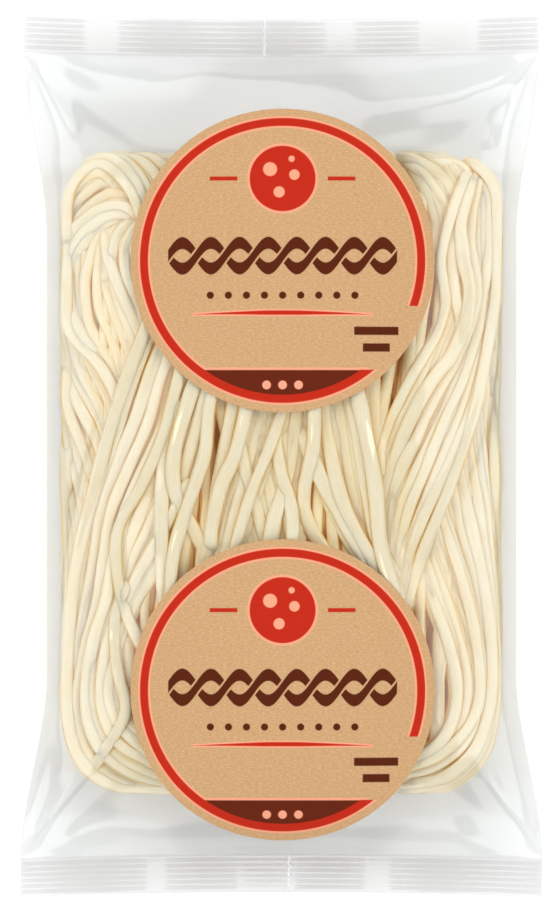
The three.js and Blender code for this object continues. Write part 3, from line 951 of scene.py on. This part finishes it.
def seam_end(name, x, side):
    """The crinkled end of the seam along the back, caught between the sheets of an end seal."""
    into = np.linspace(0.0, SEAL_STRIP - 0.3, 34)
    crinkle = SEAM_CRINKLE * np.sin(into * 2.9) * np.sin(into * 0.8 + x)
    y = row_y(side * (SEAL_LINE + into), x / half_width(side * HALF_LENGTH))
    line = np.column_stack([x + crinkle, y, np.full(len(into), SEAL_HEIGHT)])
    right = np.column_stack([sideways(line[:, :2]) * SEAM_WIDTH / 2.0, np.zeros(len(into))])
    up = np.array([0.0, 0.0, SEAL_THICKNESS * SEAM_BULGE])
    count = len(line)
    faces = [
        (k * count + i, ((k + 1) % 4) * count + i, ((k + 1) % 4) * count + i + 1, k * count + i + 1)
        for k in range(4)
        for i in range(count - 1)
    ]
    faces += [tuple(k * count for k in (3, 2, 1, 0)), tuple(k * count + count - 1 for k in range(4))]
    made = mesh_object(name, np.vstack([line - right, line + up, line + right, line - up]), faces)
    edit_mesh(made, (bpy.ops.mesh.normals_make_consistent, {"inside": False}))
    return made


# ---- The labels ----
LABEL_BOXES = {
    node: [np.array(corner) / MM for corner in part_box(node)] for node in ("label_head", "label_foot")
}
LABEL_LEFT, LABEL_RIGHT = (corner[0] for corner in LABEL_BOXES["label_head"])
LABEL_RADIUS = (LABEL_RIGHT - LABEL_LEFT) / 2.0
LABEL_X = (LABEL_RIGHT + LABEL_LEFT) / 2.0
LABEL_PLACES = {node: (low[1] + high[1]) / 2.0 for node, (low, high) in LABEL_BOXES.items()}
LABEL_SIDES = 144
LABEL_RINGS = 18
LABEL_EDGE = 0.25  # width of the ring of faces at the paper's edge
PAPER_THICKNESS = 0.16
PAPER_LIFT = 0.06  # over the highest film below it
PAPER_STIFFNESS = 5.6  # it bends only over distances longer than this


def paper_label(name, centre_y, draped):
    """A disc of paper that bridges the ridges in the film."""
    circle = bpy.ops.mesh.primitive_circle_add
    disc = primitive(name, circle, vertices=LABEL_SIDES, radius=LABEL_RADIUS, fill_type="NGON")
    edge = (bpy.ops.mesh.inset, {"thickness": LABEL_EDGE})
    ring = (bpy.ops.mesh.inset, {"thickness": LABEL_RADIUS / 20.0})
    edit_mesh(disc, edge, *[ring] * LABEL_RINGS, (bpy.ops.mesh.poke, {}))
    bridging = blur_map(widest_round(draped, 4), PAPER_STIFFNESS)
    plan = points_of(disc)
    x, y = plan[:, 0] + LABEL_X, plan[:, 1] + centre_y
    sheet = read_map(bridging, x, y)
    sheet += max(0.0, float((read_map(draped, x, y) - sheet).max())) + PAPER_LIFT
    place_points(disc, x, y, sheet)
    select_only(disc)
    paper = disc.modifiers.new("paper", "SOLIDIFY")
    paper.thickness = PAPER_THICKNESS * MM
    paper.offset = 1.0
    bpy.ops.object.modifier_apply(modifier=paper.name)
    bpy.ops.object.shade_smooth_by_angle(angle=math.radians(40.0))
    return disc


# ---- The heap's dark middle ----
CORE_DEPTH = 10.0  # below the heap's top
CORE_INSET = 9.0  # from the heap's outline
CORE_WAIST = 5.0  # height of its widest line
CORE_BELLY = 3.0  # its depth below that line
CORE_LEAST = 6.0  # the height of its top is nowhere less


def heap_core():
    """A rounded block inside the threads, so that deep gaps end on cheese."""
    sphere = bpy.ops.mesh.primitive_uv_sphere_add
    core = primitive("heap_core", sphere, segments=64, ring_count=32, radius=1.0)
    ball = points_of(core)
    # Seen from above, the round ball becomes a rectangle with well rounded corners.
    flat = np.hypot(ball[:, 0], ball[:, 1])
    turn = np.arctan2(ball[:, 1], ball[:, 0])
    corner = (np.abs(np.cos(turn)) ** 5 + np.abs(np.sin(turn)) ** 5) ** (-1 / 5)
    reach = np.sin(np.arcsin(np.clip(flat, 0, 1))) ** 0.7 * corner
    x = reach * np.cos(turn) * (HEAP_HALF_WIDTH - CORE_INSET)
    y = reach * np.sin(turn) * (HEAP_HALF_LENGTH - CORE_INSET) + HEAP_MIDDLE
    top = np.maximum(heap_top(x, y) - CORE_DEPTH, CORE_LEAST)
    rise = np.sign(ball[:, 2]) * np.abs(ball[:, 2]) ** 0.5
    z = np.where(rise > 0, CORE_WAIST + (top - CORE_WAIST) * rise, CORE_WAIST + CORE_BELLY * rise)
    place_points(core, x, y, z)
    # A depth of 9 gives the core the dark tan of the painted depth shade and the full painted glow.
    add_attributes(
        core, tint=np.full(len(x), 0.3), depth=np.full(len(x), 9.0), grain=np.column_stack([x, z, y])
    )
    bpy.ops.object.shade_smooth()
    return core


# ---- Materials ----
def linear(colour):
    """A linear colour from an sRGB hex value."""
    channels = [int(colour[i : i + 2], 16) / 255.0 for i in (1, 3, 5)]
    return tuple(c / 12.92 if c <= 0.04045 else ((c + 0.055) / 1.055) ** 2.4 for c in channels) + (1.0,)


def add(tree, kind, inputs=(), out=0, **settings):
    """Adds a node, sets it, fills or links its inputs by number or name, and gives one of its outputs."""
    made = tree.nodes.new("ShaderNode" + kind)
    for name, value in settings.items():
        setattr(made, name, value)
    pairs = inputs.items() if isinstance(inputs, dict) else enumerate(inputs)
    for key, value in pairs:
        if isinstance(value, bpy.types.NodeSocket):
            tree.links.new(value, made.inputs[key])
        elif value is not None:
            made.inputs[key].default_value = value
    return made.outputs[out] if made.outputs else None


def calc(tree, operation, *values):
    """The result of one Math node."""
    return add(tree, "Math", values, operation=operation)


def scaled(tree, vector, factors):
    return add(tree, "VectorMath", (vector, factors), operation="MULTIPLY")


def length_of(tree, vector):
    return add(tree, "VectorMath", (vector,), out=1, operation="LENGTH")


def ranged(tree, value, low, high, at_low=0.0, at_high=1.0, **settings):
    """The value carried over from the range low to high to the range at_low to at_high."""
    return add(tree, "MapRange", {0: value, 1: low, 2: high, 3: at_low, 4: at_high}, **settings)


def mixed(tree, share, below, above, blend="MIX"):
    inputs = {0: share, 6: below, 7: above}
    return add(tree, "Mix", inputs, out=2, data_type="RGBA", blend_type=blend)


def stained(tree, share, below, colour):
    """A colour seen through a coloured filter, by that share."""
    return mixed(tree, share, below, colour, "MULTIPLY")


def ramp(tree, value, *stops):
    """A colour ramp through (place, hex colour) stops."""
    colours = add(tree, "ValToRGB", (value,))
    elements = colours.node.color_ramp.elements
    for element, (place, colour) in zip((elements[0], elements[1]), (stops[0], stops[-1])):
        element.position = place
        element.color = linear(colour)
    for place, colour in stops[1:-1]:
        elements.new(place).color = linear(colour)
    return colours


def new_material(name):
    made = bpy.data.materials.new(name)
    made.use_nodes = True
    made.node_tree.nodes.clear()
    return made, made.node_tree


def surfaced(material, shader):
    """The material with its finished shader on its output."""
    add(material.node_tree, "OutputMaterial", (shader,))
    return material


def pulled_cheese():
    """Pasta filata, pulled into threads and moist: pale cream, translucent, fibres along it, a soft shine."""
    material, tree = new_material("pulled_cheese")
    grain = add(tree, "Attribute", attribute_name="grain", out=1)
    depth = add(tree, "Attribute", attribute_name="depth", out=2)
    tint = add(tree, "Attribute", attribute_name="tint", out=2)
    # Fibres 0.3 mm apart and 8 mm long, drawn a little coarser than real so that they show.
    fibre_space = scaled(tree, grain, (3.0, 3.0, 0.12))
    fibres = add(tree, "TexNoise", {"Vector": fibre_space, "Scale": 1.0, "Detail": 3.0, "Roughness": 0.6})
    lump_space = scaled(tree, grain, (0.5, 0.5, 0.16))
    lumps = add(tree, "TexNoise", {"Vector": lump_space, "Scale": 1.0, "Detail": 2.0})
    # Painted shade: the deeper a point lies below the heap's top, the more its colour turns from cream to tan
    # and brown. It stands in for the shade in the gaps and for daylight that has come through more and more
    # cheese.
    buried = ranged(tree, depth, 2.2, 12.5)
    cream = ramp(tree, buried, (0.0, "#f0e8d0"), (0.3, "#f6e5b8"), (0.65, "#d8a443"), (1.0, "#b4691c"))
    colour = stained(tree, tint, cream, (1.0, 0.985, 0.95, 1.0))
    # Painted shade: the sides and undersides of each thread, away from its open side and where threads touch,
    # are stained darker and yellower. This stands in for shade and for light that has gone through more
    # cheese.
    openness = add(tree, "SeparateXYZ", (grain,), out=1)
    flank = ranged(tree, openness, 1.0, -0.05, 0.0, 0.92, interpolation_type="SMOOTHSTEP")
    colour = stained(tree, flank, colour, linear("#f0c840"))
    colour = stained(tree, ranged(tree, fibres, 0.35, 0.75, 0.0, 0.22), colour, linear("#efd9ac"))
    colour = stained(tree, ranged(tree, lumps, 0.3, 0.7, 0.0, 0.25), colour, linear("#f7e7c4"))
    gloss = ranged(tree, fibres, 0.3, 0.8, 0.34, 0.5)
    relief = add(tree, "Bump", {"Strength": 0.35, "Distance": 0.00018, "Height": fibres})
    relief = add(tree, "Bump", {"Strength": 0.5, "Distance": 0.0006, "Height": lumps, "Normal": relief})
    # Painted glow: an emission stands in for daylight that reaches the deep gaps through the threads above
    # and comes out yellow and then brown. It is stronger the deeper a point lies, and on the shaded flanks.
    painted_glow_colour = ramp(tree, buried, (0.0, "#f2d488"), (0.3, "#e8b050"), (0.8, "#c27424"))
    painted_deep_glow = ranged(tree, depth, 2.5, 6.5, 0.0, 0.07)
    painted_glow = calc(tree, "ADD", painted_deep_glow, calc(tree, "MULTIPLY", flank, 0.045))
    skin = add(
        tree,
        "BsdfPrincipled",
        {
            "Base Color": colour,
            "Roughness": gloss,
            "IOR": 1.45,
            "Normal": relief,
            "Subsurface Weight": 0.4,
            "Subsurface Radius": (1.0, 1.0, 0.9),
            "Subsurface Scale": 0.001,
            "Emission Color": painted_glow_colour,
            "Emission Strength": painted_glow,
        },
    )
    return surfaced(material, skin)


def clear_film():
    """Cast polypropylene packing film, extruded: clear with a trace of haze, and glossy on both faces."""
    material, tree = new_material("polypropylene_film")
    # Schlick's rule for the two faces of one thin sheet, the same from inside the bag as from outside.
    slant = add(tree, "LayerWeight", {"Blend": 0.5}, out=1)
    mirror_share = ranged(tree, calc(tree, "POWER", slant, 5.0), 0.0, 1.0, 0.045, 0.95)
    # The sealing jaws leave the film duller and a little greyer.
    pressed = add(tree, "Attribute", attribute_name="pressed", out=2)
    tone = mixed(tree, pressed, linear("#f2f3f3"), linear("#efefef"))
    roughness = ranged(tree, pressed, 0.0, 1.0, 0.14, 0.24)
    through = add(tree, "BsdfTransparent", (tone,))
    haze = add(tree, "BsdfDiffuse", {"Color": linear("#f4f6f6")})
    body = add(tree, "MixShader", (0.012, through, haze))
    shine = add(tree, "BsdfAnisotropic", {"Color": (1.0, 1.0, 1.0, 1.0), "Roughness": roughness})
    return surfaced(material, add(tree, "MixShader", (mirror_share, body, shine)))


def folded_film():
    """The same film folded many times over and crushed: white, because every fold scatters light."""
    material, tree = new_material("folded_polypropylene_film")
    white = {"Base Color": linear("#fdfdfd"), "Roughness": 0.4, "IOR": 1.49}
    return surfaced(material, add(tree, "BsdfPrincipled", white))


# ---- The labels' print, all in millimetres from the label's middle ----
KRAFT = "#ba946a"
INK_RED = "#b1230d"
INK_BROWN = "#501b02"
INK_BAND = "#5c1d05"
INK_PEACH = "#e29879"
PRINT_EDGE = 0.12  # half the softness of an ink's edge
RING_RADIUS = 40.0
RING_HALF = 1.18  # half the width of its line
RING_GAP = (-31.6, -13.2)  # the ring is open at the right between these heights
RIM_HALF = 1.75  # of the pale rim that shows on both sides of the ring
BAND_TOP = -31.0
STROKE_Y = -15.2
STROKE_REACH = 26.0
DISC_Y = 23.5


def soft_less(tree, value, limit):
    """1 where value is below limit, 0 above, with an edge of printed sharpness."""
    return ranged(tree, value, limit - PRINT_EDGE, limit + PRINT_EDGE, 1.0, 0.0)


def both(tree, first, *others):
    for other in others:
        first = calc(tree, "MULTIPLY", first, other)
    return first


def off(tree, value, centre):
    """Distance from a centre along one axis."""
    return calc(tree, "ABSOLUTE", calc(tree, "SUBTRACT", value, centre))


def disc_mask(tree, x, y, radius):
    return soft_less(tree, length_of(tree, add(tree, "CombineXYZ", (x, y))), radius)


def box_mask(tree, x, y, centre, half_size):
    inside_x = soft_less(tree, off(tree, x, centre[0]), half_size[0])
    return both(tree, inside_x, soft_less(tree, off(tree, y, centre[1]), half_size[1]))


def dot_mask(tree, x, y, centre, radius):
    return disc_mask(tree, off(tree, x, centre[0]), off(tree, y, centre[1]), radius)


def dot_row_mask(tree, x, y, middle, pitch, radius, half_length):
    """A row of round dots of one pitch."""
    dots = disc_mask(tree, calc(tree, "PINGPONG", x, pitch), off(tree, y, middle), radius)
    return both(tree, dots, soft_less(tree, off(tree, x, 0.0), half_length))


def plait_mask(tree, x, y):
    """A traditional two-strand plait that passes over and under itself. Its strands are mirrored waves."""
    middle, height, wave, half_strand, clearance = 1.2, 3.7, 16.5, 1.75, 2.6
    angle = calc(tree, "MULTIPLY", x, 2 * math.pi / wave)
    strands = []
    for side in (height, -height):
        swing = calc(tree, "MULTIPLY", calc(tree, "SINE", angle), side)
        strands.append(off(tree, calc(tree, "SUBTRACT", y, middle), swing))
    first_over = ranged(tree, calc(tree, "COSINE", angle), -0.05, 0.05)
    second_over = calc(tree, "SUBTRACT", 1.0, first_over)
    masks = []
    for near, far, on_top in ((*strands, first_over), (*strands[::-1], second_over)):
        clear = calc(tree, "SUBTRACT", 1.0, soft_less(tree, near, clearance))
        lower = both(tree, soft_less(tree, far, half_strand), clear)
        shown = calc(tree, "MAXIMUM", soft_less(tree, near, half_strand), lower)
        masks.append(both(tree, shown, on_top))
    return both(tree, calc(tree, "ADD", *masks), soft_less(tree, off(tree, x, 0.0), 33.0))


def print_layers(tree, x, y, radius):
    """The inks in the order in which they are printed, each with its mask."""
    from_ring = off(tree, radius, RING_RADIUS)
    above_gap = soft_less(tree, calc(tree, "MULTIPLY", y, -1.0), -RING_GAP[1])
    below_gap = soft_less(tree, y, RING_GAP[0])
    either = calc(tree, "MAXIMUM", above_gap, below_gap)
    drawn = calc(tree, "MAXIMUM", either, soft_less(tree, x, 0.0))
    yield both(tree, soft_less(tree, from_ring, RIM_HALF), drawn), INK_PEACH
    yield both(tree, soft_less(tree, y, BAND_TOP), soft_less(tree, radius, RING_RADIUS)), INK_PEACH
    yield both(tree, soft_less(tree, y, BAND_TOP - 0.7), soft_less(tree, radius, RING_RADIUS - 0.5)), INK_BAND
    yield both(tree, soft_less(tree, from_ring, RING_HALF), drawn), INK_RED

    yield plait_mask(tree, x, y), INK_BROWN
    yield dot_row_mask(tree, x, y, middle=-10.2, pitch=2.6, radius=1.05, half_length=25.0), INK_BROWN
    bow = calc(tree, "MULTIPLY", calc(tree, "MULTIPLY", x, x), 0.0008)
    from_middle = off(tree, x, 0.0)
    from_stroke = off(tree, calc(tree, "ADD", y, bow), STROKE_Y)
    stroke_half = ranged(tree, from_middle, 5.0, STROKE_REACH, 0.62, 0.0)
    outside = calc(tree, "SUBTRACT", from_stroke, stroke_half)
    for limit, ink in ((0.45, INK_PEACH), (0.0, INK_RED)):
        yield both(tree, soft_less(tree, outside, limit), soft_less(tree, from_middle, STROKE_REACH)), ink

    for centre, size, ink in (
        ((0.0, DISC_Y), 10.2, INK_PEACH),
        ((0.0, DISC_Y), 9.5, INK_RED),
        ((-3.6, 26.2), 2.0, INK_PEACH),
        ((3.4, 24.6), 1.5, INK_PEACH),
        ((-1.0, 19.6), 1.6, INK_PEACH),
        ((2.6, 29.2), 0.9, INK_PEACH),
    ):
        yield dot_mask(tree, x, y, centre, size), ink
    for centre, half_size, ink in (
        ((-17.0, DISC_Y), (4.0, 0.6), INK_RED),
        ((17.0, DISC_Y), (4.0, 0.6), INK_RED),
        ((27.0, -20.4), (6.4, 1.2), INK_BROWN),
        ((27.0, -25.2), (3.9, 1.2), INK_BROWN),
    ):
        yield box_mask(tree, x, y, centre, half_size), ink
    yield dot_row_mask(tree, x, y, middle=-36.0, pitch=2.3, radius=1.25, half_length=7.0), INK_PEACH


def kraft_label(centre_y):
    """Unbleached kraft paper, pressed and printed matt: fine fibres and flecks, flat inks with a pale rim."""
    material, tree = new_material("kraft_paper")
    place = add(tree, "TexCoord", out=3)
    centred = add(tree, "Mapping", {0: place, 1: (-LABEL_X, -centre_y, 0.0), 3: (1000.0, 1000.0, 0.0)})
    x = add(tree, "SeparateXYZ", (centred,))
    y = x.node.outputs[1]

    fibre_space = scaled(tree, centred, (1.1, 2.6, 1.0))
    fibres = add(tree, "TexNoise", {"Vector": fibre_space, "Scale": 0.9, "Detail": 6.0, "Roughness": 0.75})
    flecks = add(tree, "TexNoise", {"Vector": centred, "Scale": 0.55, "Detail": 2.0, "Roughness": 0.6})
    colour = ramp(tree, fibres, (0.28, "#b4875a"), (0.5, KRAFT), (0.72, "#d2ae86"))
    colour = mixed(tree, ranged(tree, flecks, 0.64, 0.76, 0.0, 0.35), colour, linear("#9c7146"))
    for mask, ink in print_layers(tree, x, y, length_of(tree, centred)):
        colour = mixed(tree, mask, colour, linear(ink))

    relief = add(tree, "Bump", {"Strength": 0.25, "Distance": 0.0001, "Height": fibres})
    paper = add(
        tree,
        "BsdfPrincipled",
        {"Base Color": colour, "Roughness": 0.85, "Specular IOR Level": 0.15, "Normal": relief},
    )
    return surfaced(material, paper)


def light_table():
    """A studio light table: white matt acrylic, lit faintly from below so that shadows on it stay pale."""
    material, tree = new_material("matt_white_acrylic")
    # Faint clouds 25 mm across, as in any cast sheet.
    clouds = add(tree, "TexNoise", {"Vector": add(tree, "TexCoord", out=3), "Scale": 40.0, "Detail": 2.0})
    sheet = add(
        tree,
        "BsdfPrincipled",
        {
            "Base Color": ramp(tree, clouds, (0.3, "#f7f7f7"), (0.7, "#fafafa")),
            "Roughness": 0.9,
            "Specular IOR Level": 0.1,
            "Emission Color": (1.0, 1.0, 1.0, 1.0),
            "Emission Strength": 0.07,
        },
    )
    return surfaced(material, sheet)


def dress(piece, material, slot, *nodes):
    piece.data.materials.clear()
    piece.data.materials.append(material)
    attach(piece, "root")
    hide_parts(*nodes)


# ---- The stage ----
LAMP_SIZE = 1.1
LAMPS = (  # name, place in metres and power in watts
    ("soft_light_left", (-0.98, 0.1, 0.8), 11.1),
    ("soft_light_right", (0.98, 0.1, 0.8), 11.1),
    ("soft_light_head", (0.0, 1.0, 0.8), 10.3),
    ("soft_light_foot", (0.0, -1.0, 0.8), 10.3),
)
SEEN_HEIGHT = 268.7  # what the camera's frame holds along the pack, at the seals' height
CAMERA_DISTANCE = 1000.0
CAMERA_OFFSET = (-0.88, -0.44)
SENSOR = 36.0
TABLE_SIZE = 4.0  # metres
WALL_LIGHT = 1.8
CEILING_LIGHT = 0.38


def studio():
    board = primitive("table_top", bpy.ops.mesh.primitive_plane_add, size=TABLE_SIZE)
    board.data.materials.append(light_table())
    scene = bpy.context.scene
    scene.view_settings.view_transform = "Standard"
    scene.world = bpy.data.worlds.new("studio_air")
    scene.world.use_nodes = True
    # The walls round the table are paler than the ceiling: level film stays clear, and tilted film is bright.
    tree = scene.world.node_tree
    height = add(tree, "SeparateXYZ", (add(tree, "TexCoord"),), out=2)
    light = ranged(tree, height, 0.0, 0.75, WALL_LIGHT, CEILING_LIGHT)
    tree.links.new(light, tree.nodes["Background"].inputs[1])
    for name, place, power in LAMPS:
        lamp = bpy.data.lights.new(name, "AREA")
        lamp.shape = "SQUARE"
        lamp.size = LAMP_SIZE
        lamp.energy = power
        made = bpy.data.objects.new(name, lamp)
        made.location = place
        made.rotation_euler = Vector(place).to_track_quat("Z", "Y").to_euler()
        scene.collection.objects.link(made)


def camera():
    """Looks straight down on the pack."""
    lens = bpy.data.cameras.new("camera")
    lens.sensor_width = SENSOR
    lens.lens = SENSOR * CAMERA_DISTANCE / SEEN_HEIGHT
    lens.clip_start = 0.01
    made = bpy.data.objects.new("camera", lens)
    made.location = (CAMERA_OFFSET[0] * MM, CAMERA_OFFSET[1] * MM, (SEAL_HEIGHT + CAMERA_DISTANCE) * MM)
    bpy.context.scene.collection.objects.link(made)
    bpy.context.scene.camera = made


# ---- The pack ----
camera()
studio()

cheese = pulled_cheese()
under = under_layer(30, lean=4.0)
left = (
    family(LEFT_EDGE, 10, width=3.6)
    + family(LEFT_INNER, 6, width=3.8)
    + family(LEFT_ARCS, 5, width=3.7)
    + family(LEFT_CROWN, 4, width=3.7)
    + singles(LEFT_SIDE_THREADS, width=3.7)
    + singles(CROWN_THREADS, width=3.7)
    + family(LEANING, 10, width=4.0)
    + family(LEANING, 8, jitter=0.12, width=4.1)
    + singles(LEFT_TOP_THREADS, width=4.1)
)
right = (
    family(RIGHT_EDGE, 10)
    + family(RIGHT_FALLING, 12, width=4.0)
    + family(RIGHT_FALLING, 8, jitter=0.12, width=4.0)
    + singles(FOOT_RIGHT_THREADS, width=4.2)
    + family(RIGHT_TOP, 10, width=3.9)
    + family(RIGHT_LEANING, 9, width=4.0)
    + family(RIGHT_LEANING, 8, jitter=0.12, width=4.1)
    + singles(HEAD_RIGHT_THREADS, width=3.9)
    + singles(RIGHT_TOP_THREADS, width=4.2)
)
middle_low = family(MIDDLE_UNDER, 14, wander=0.6, width=4.0)
middle = (
    family(MIDDLE_RIGHT_FAN, 7, width=4.4)
    + family(MIDDLE_LEFT_FAN, 6, width=4.4)
    + singles(MIDDLE_TOP_THREADS, width=4.5)
)

ground = heap_top(PLAN_X, PLAN_Y) - PILE_DEPTH
for group in (under, middle_low, left, right, middle):
    lay(group, ground)
middle += middle_low
settle(under + left + right + middle)

level = closed_level(left + right + middle)
close_below = backing(46, lean=14.0, depth=5.4, level=level)
close_below += backing(44, lean=-15.0, depth=6.8, level=level)
walls = wall_loops()
floor_side = floor_loops()
for name, group in (
    ("threads_left", left),
    ("threads_right", right),
    ("threads_middle", middle),
    ("threads_under", under),
    ("threads_close_below", close_below),
    ("threads_wall", walls),
    ("threads_floor", floor_side),
):
    dress(thread_piece(name, group), cheese, "cheese", "thread_pack")
dress(heap_core(), cheese, "cheese", "thread_pack")

draped = drape(under + left + right + middle + walls)
dress(film_bag(draped), clear_film(), "clear_film", "thread_pack")
crushed = folded_film()
for end, x, side in SEAM_PLACES:
    dress(seam_end("seam_" + end, x, side), crushed, "clear_film", "thread_pack")
for node_name, centre_y in LABEL_PLACES.items():
    paper = paper_label(node_name + "_print", centre_y, draped)
    dress(paper, kraft_label(centre_y), "kraft_paper", node_name)
